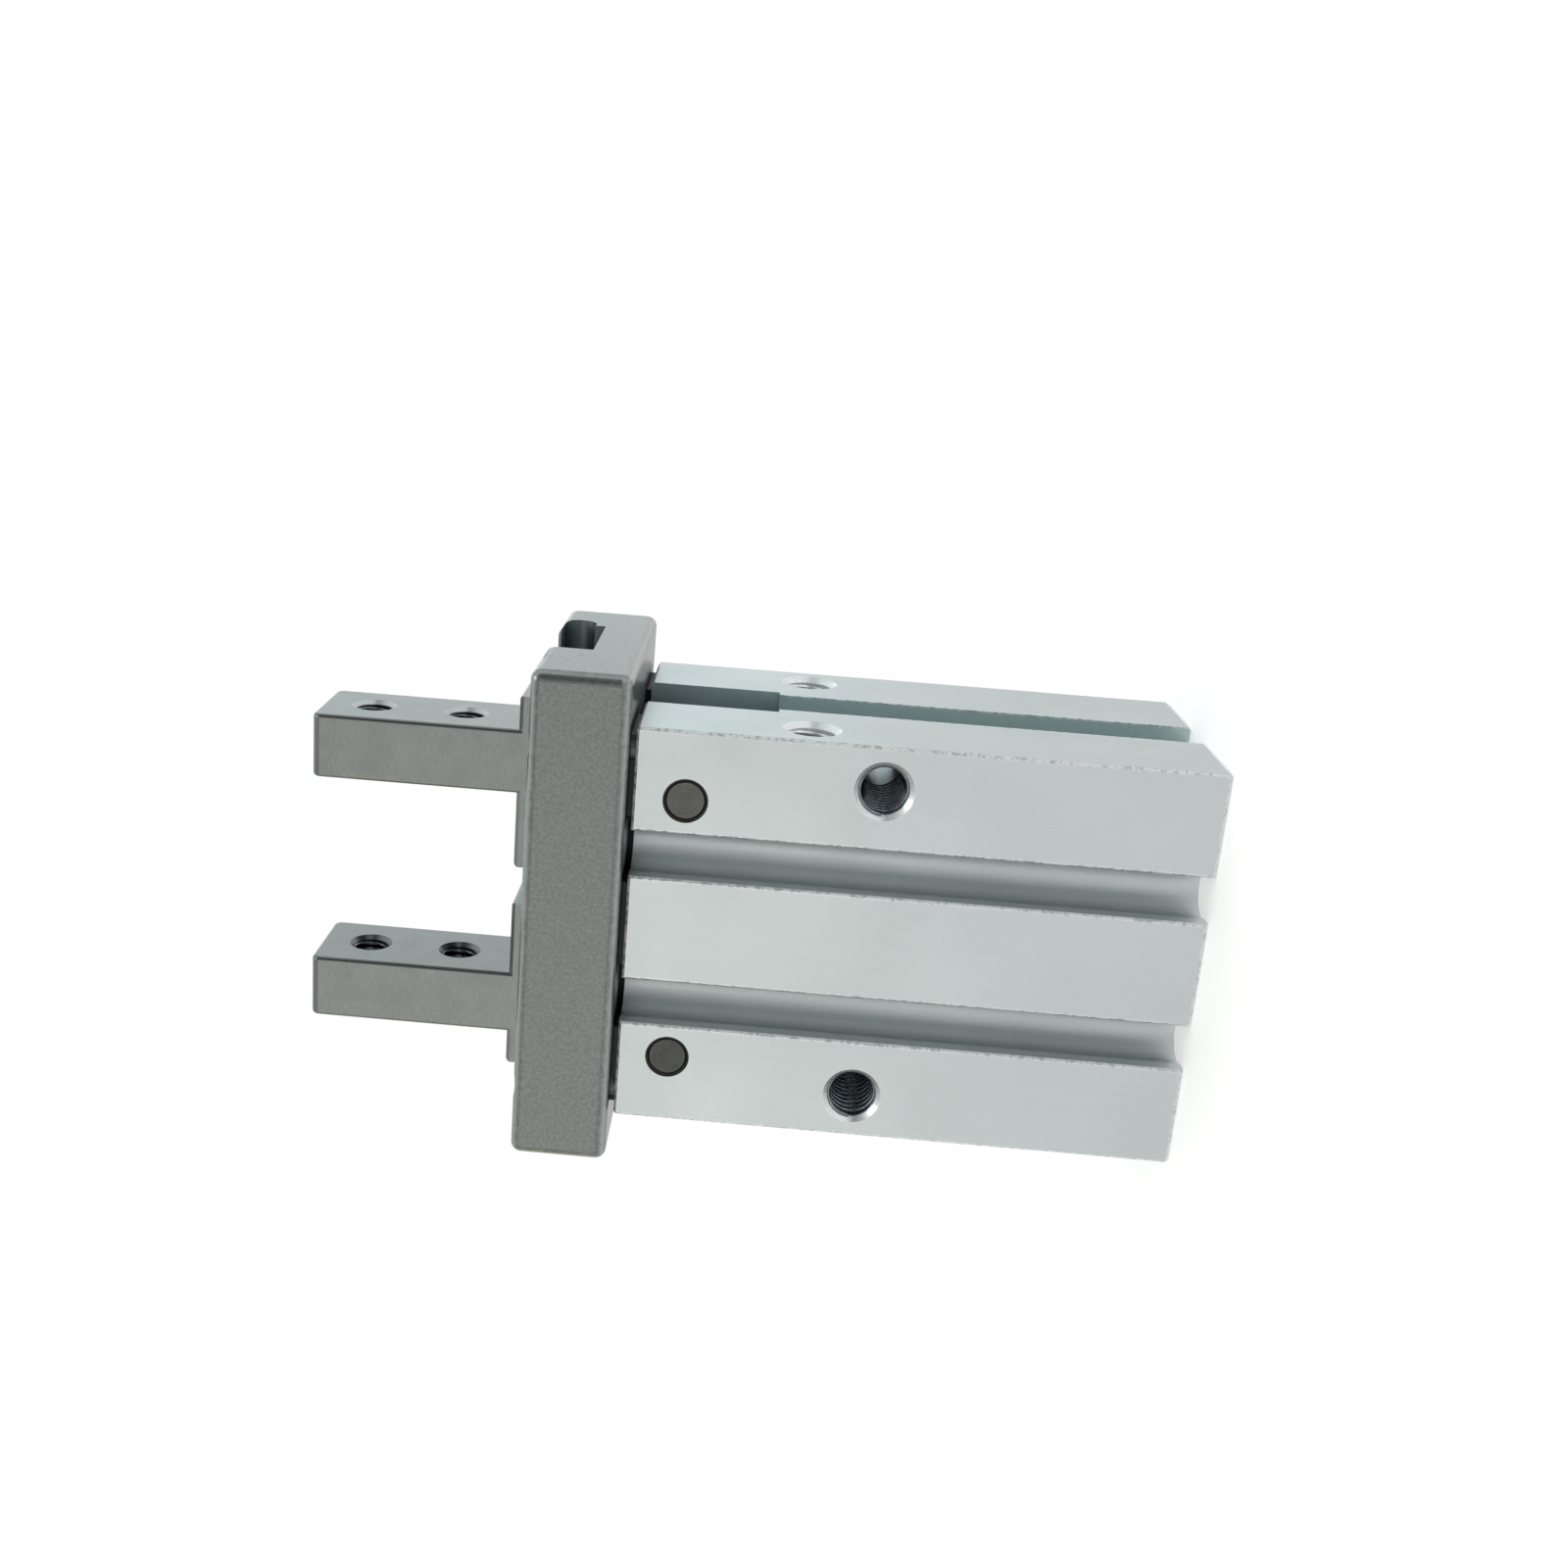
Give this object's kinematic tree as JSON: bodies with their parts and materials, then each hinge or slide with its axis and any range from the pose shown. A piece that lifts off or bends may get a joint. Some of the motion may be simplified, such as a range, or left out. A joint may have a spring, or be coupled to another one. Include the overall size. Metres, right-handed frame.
{
  "type": "pneumatic parallel gripper",
  "caption": "Compact air gripper: an anodised body whose piston drives bell-crank levers that slide parallel steel fingers along a ball-guided cross rail.",
  "frame": {"origin": "middle of the rear mounting face", "axes": "+Z from the rear face to the finger tips, +X the way finger a opens, -Y the broad front face"},
  "size_m": [0.038, 0.0236, 0.0673],
  "materials": {
    "anodised_aluminium": "clear anodised, fine satin",
    "rail_steel": "ground and tumbled, satin",
    "finger_steel": "ground, satin",
    "black_rubber": "matt",
    "screw_steel": "satin",
    "shaft_steel": "ground",
    "stop_steel": "ground, satin",
    "bumper_urethane": "smooth",
    "cap_aluminium": "turned",
    "spring_steel": "phosphated",
    "piston_aluminium": "turned",
    "magnet_rubber": "matt",
    "lever_steel": "hardened",
    "ball_steel": "polished"
  },
  "bodies": {
    "housing": {"gripper_body": "anodised_aluminium", "guide_rail": "rail_steel", "guide_gasket": "black_rubber", "guide_screws": "screw_steel", "guide_dowels": "shaft_steel", "stop_plate_a": "stop_steel", "stop_plate_b": "stop_steel", "lever_shaft_a": "shaft_steel", "lever_shaft_b": "shaft_steel", "rod_seal": "black_rubber", "front_bumper": "bumper_urethane", "rear_bumper": "bumper_urethane", "end_cap": "cap_aluminium", "cap_o_ring": "black_rubber", "snap_ring": "spring_steel"},
    "piston": {"piston": "piston_aluminium", "piston_seal": "black_rubber", "piston_magnet": "magnet_rubber"},
    "lever_a": {"lever_a": "lever_steel"},
    "lever_b": {"lever_b": "lever_steel"},
    "finger_a": {"finger_a": "finger_steel"},
    "finger_b": {"finger_b": "finger_steel"},
    "ball_row_a": {"ball_row_a": "ball_steel"},
    "ball_row_b": {"ball_row_b": "ball_steel"}
  },
  "joints": [
    {"name": "piston_slide", "type": "slide", "parent": "housing", "child": "piston", "axis": [0, 0, 1], "range_m": [0, 0.00239]},
    {"name": "lever_a_pivot", "type": "hinge", "parent": "housing", "child": "lever_a", "pos_m": [0.0101, 0, 0.0383], "axis": [0, 1, 0], "range_deg": [0, 19.14]},
    {"name": "lever_b_pivot", "type": "hinge", "parent": "housing", "child": "lever_b", "pos_m": [-0.0101, 0, 0.0383], "axis": [0, -1, 0], "range_deg": [0, 19.14]},
    {"name": "finger_a_slide", "type": "slide", "parent": "housing", "child": "finger_a", "axis": [1, 0, 0], "range_m": [0, 0.003]},
    {"name": "finger_b_slide", "type": "slide", "parent": "housing", "child": "finger_b", "axis": [-1, 0, 0], "range_m": [0, 0.003]},
    {"name": "ball_row_a_slide", "type": "slide", "parent": "housing", "child": "ball_row_a", "axis": [1, 0, 0], "range_m": [0, 0.0015]},
    {"name": "ball_row_b_slide", "type": "slide", "parent": "housing", "child": "ball_row_b", "axis": [-1, 0, 0], "range_m": [0, 0.0015]}
  ],
  "couplings": [
    {"joint": "lever_a_pivot", "follows": "piston_slide", "rad_per_m": 139.54},
    {"joint": "lever_b_pivot", "follows": "piston_slide", "rad_per_m": 139.54},
    {"joint": "finger_a_slide", "follows": "piston_slide", "ratio": 1.2535},
    {"joint": "finger_b_slide", "follows": "piston_slide", "ratio": 1.2535},
    {"joint": "ball_row_a_slide", "follows": "piston_slide", "ratio": 0.62677},
    {"joint": "ball_row_b_slide", "follows": "piston_slide", "ratio": 0.62677}
  ]
}
